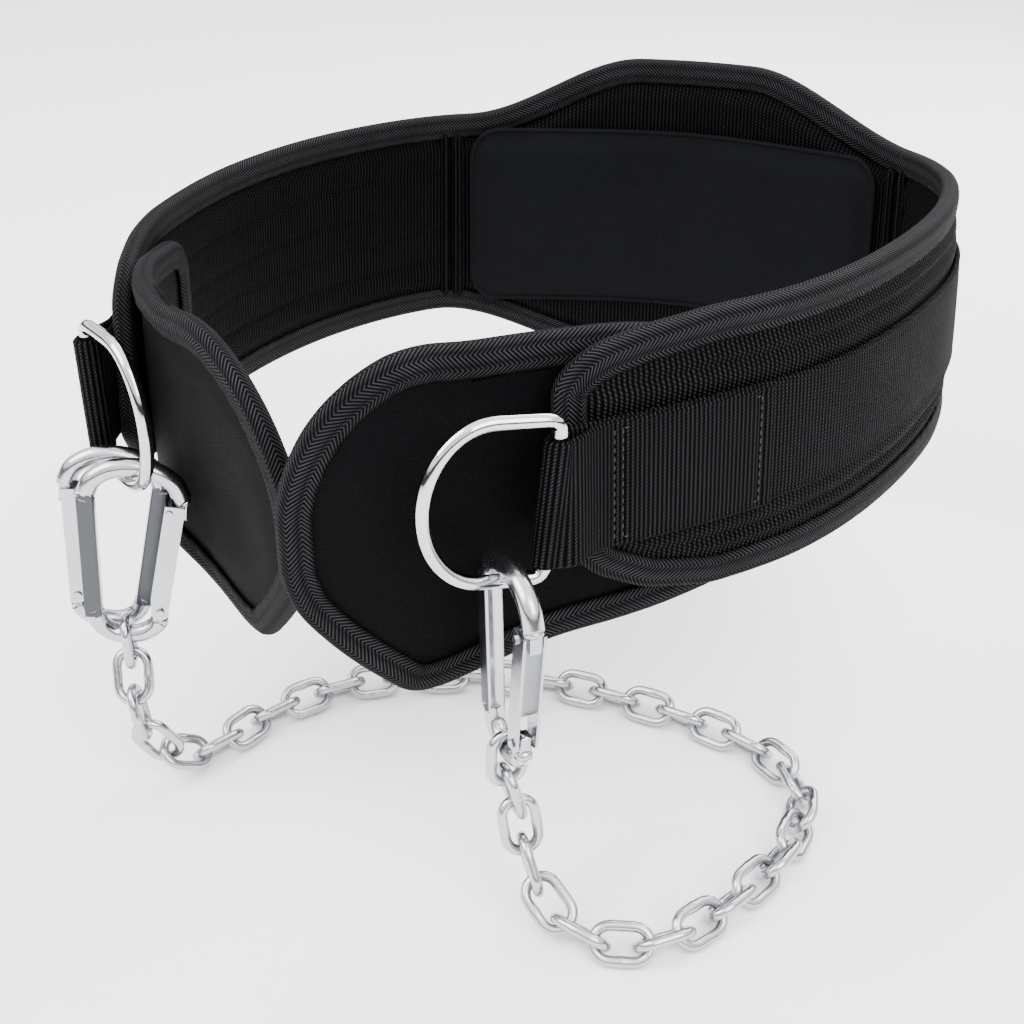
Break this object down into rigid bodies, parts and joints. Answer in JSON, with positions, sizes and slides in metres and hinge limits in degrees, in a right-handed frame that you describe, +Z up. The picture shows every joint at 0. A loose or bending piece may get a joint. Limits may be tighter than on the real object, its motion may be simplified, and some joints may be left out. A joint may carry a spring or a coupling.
{
  "type": "dip belt",
  "caption": "Padded waist belt with a sewn webbing load strap, D-rings at its front ends, spring-gate carabiners and a steel chain that holds weight plates between the legs",
  "frame": {"origin": "middle of the wearer's waist space, at mid-height of the padded band", "axes": "+Z up along the wearer's spine, +Y towards the wearer's back, +X towards the wearer's left"},
  "size_m": [0.3462, 0.406, 0.2631],
  "materials": {
    "ribbed_fabric": "vertical ribs over foam",
    "pad_fabric": "smooth padded face",
    "binding_tape": "herringbone edge tape",
    "neoprene": "smooth jersey face",
    "webbing": "tight flat weave",
    "ring_steel": "polished",
    "carabiner_steel": "polished",
    "chain_steel": "zinc plated"
  },
  "bodies": {
    "belt": {"band_binding": "binding_tape", "carabiner_left_back": "carabiner_steel", "carabiner_left_front": "carabiner_steel", "carabiner_right": "carabiner_steel", "chain_link_01": "chain_steel", "chain_link_02": "chain_steel", "chain_link_03": "chain_steel", "chain_link_04": "chain_steel", "chain_link_05": "chain_steel", "chain_link_06": "chain_steel", "chain_link_07": "chain_steel", "chain_link_08": "chain_steel", "chain_link_09": "chain_steel", "chain_link_10": "chain_steel", "chain_link_11": "chain_steel", "chain_link_12": "chain_steel", "chain_link_13": "chain_steel", "chain_link_14": "chain_steel", "chain_link_15": "chain_steel", "chain_link_16": "chain_steel", "chain_link_17": "chain_steel", "chain_link_18": "chain_steel", "chain_link_19": "chain_steel", "chain_link_20": "chain_steel", "chain_link_21": "chain_steel", "chain_link_22": "chain_steel", "chain_link_23": "chain_steel", "chain_link_24": "chain_steel", "chain_link_25": "chain_steel", "chain_link_26": "chain_steel", "chain_link_27": "chain_steel", "chain_link_28": "chain_steel", "chain_link_29": "chain_steel", "chain_link_30": "chain_steel", "chain_link_31": "chain_steel", "chain_link_32": "chain_steel", "chain_link_33": "chain_steel", "chain_link_34": "chain_steel", "chain_link_35": "chain_steel", "chain_link_36": "chain_steel", "chain_link_37": "chain_steel", "chain_link_38": "chain_steel", "d_ring_left": "ring_steel", "d_ring_right": "ring_steel", "flap_left": "neoprene", "flap_left_binding": "binding_tape", "flap_right": "neoprene", "flap_right_binding": "binding_tape", "gate_pin_left_back": "carabiner_steel", "gate_pin_left_front": "carabiner_steel", "gate_pin_right": "carabiner_steel", "load_strap": "webbing", "lumbar_pad": "pad_fabric", "padded_band": "ribbed_fabric"},
    "gate_right": {"gate_right": "carabiner_steel"},
    "gate_left_front": {"gate_left_front": "carabiner_steel"},
    "gate_left_back": {"gate_left_back": "carabiner_steel"}
  },
  "joints": [
    {"name": "hinge_right", "type": "hinge", "parent": "belt", "child": "gate_right", "pos_m": [0.07629, -0.1644, -0.08608], "axis": [-0.6583, -0.7528, 0], "range_deg": [0, 26], "stiffness_Nm_per_rad": 0.3, "springref_deg": -11.46},
    {"name": "hinge_left_front", "type": "hinge", "parent": "belt", "child": "gate_left_front", "pos_m": [-0.10507, -0.14148, -0.09075], "axis": [0.5541, -0.8324, 0], "range_deg": [0, 26], "stiffness_Nm_per_rad": 0.3, "springref_deg": -11.46},
    {"name": "hinge_left_back", "type": "hinge", "parent": "belt", "child": "gate_left_back", "pos_m": [-0.14141, -0.14992, -0.08659], "axis": [-0.5541, 0.8324, 0], "range_deg": [0, 26], "stiffness_Nm_per_rad": 0.3, "springref_deg": -11.46}
  ]
}
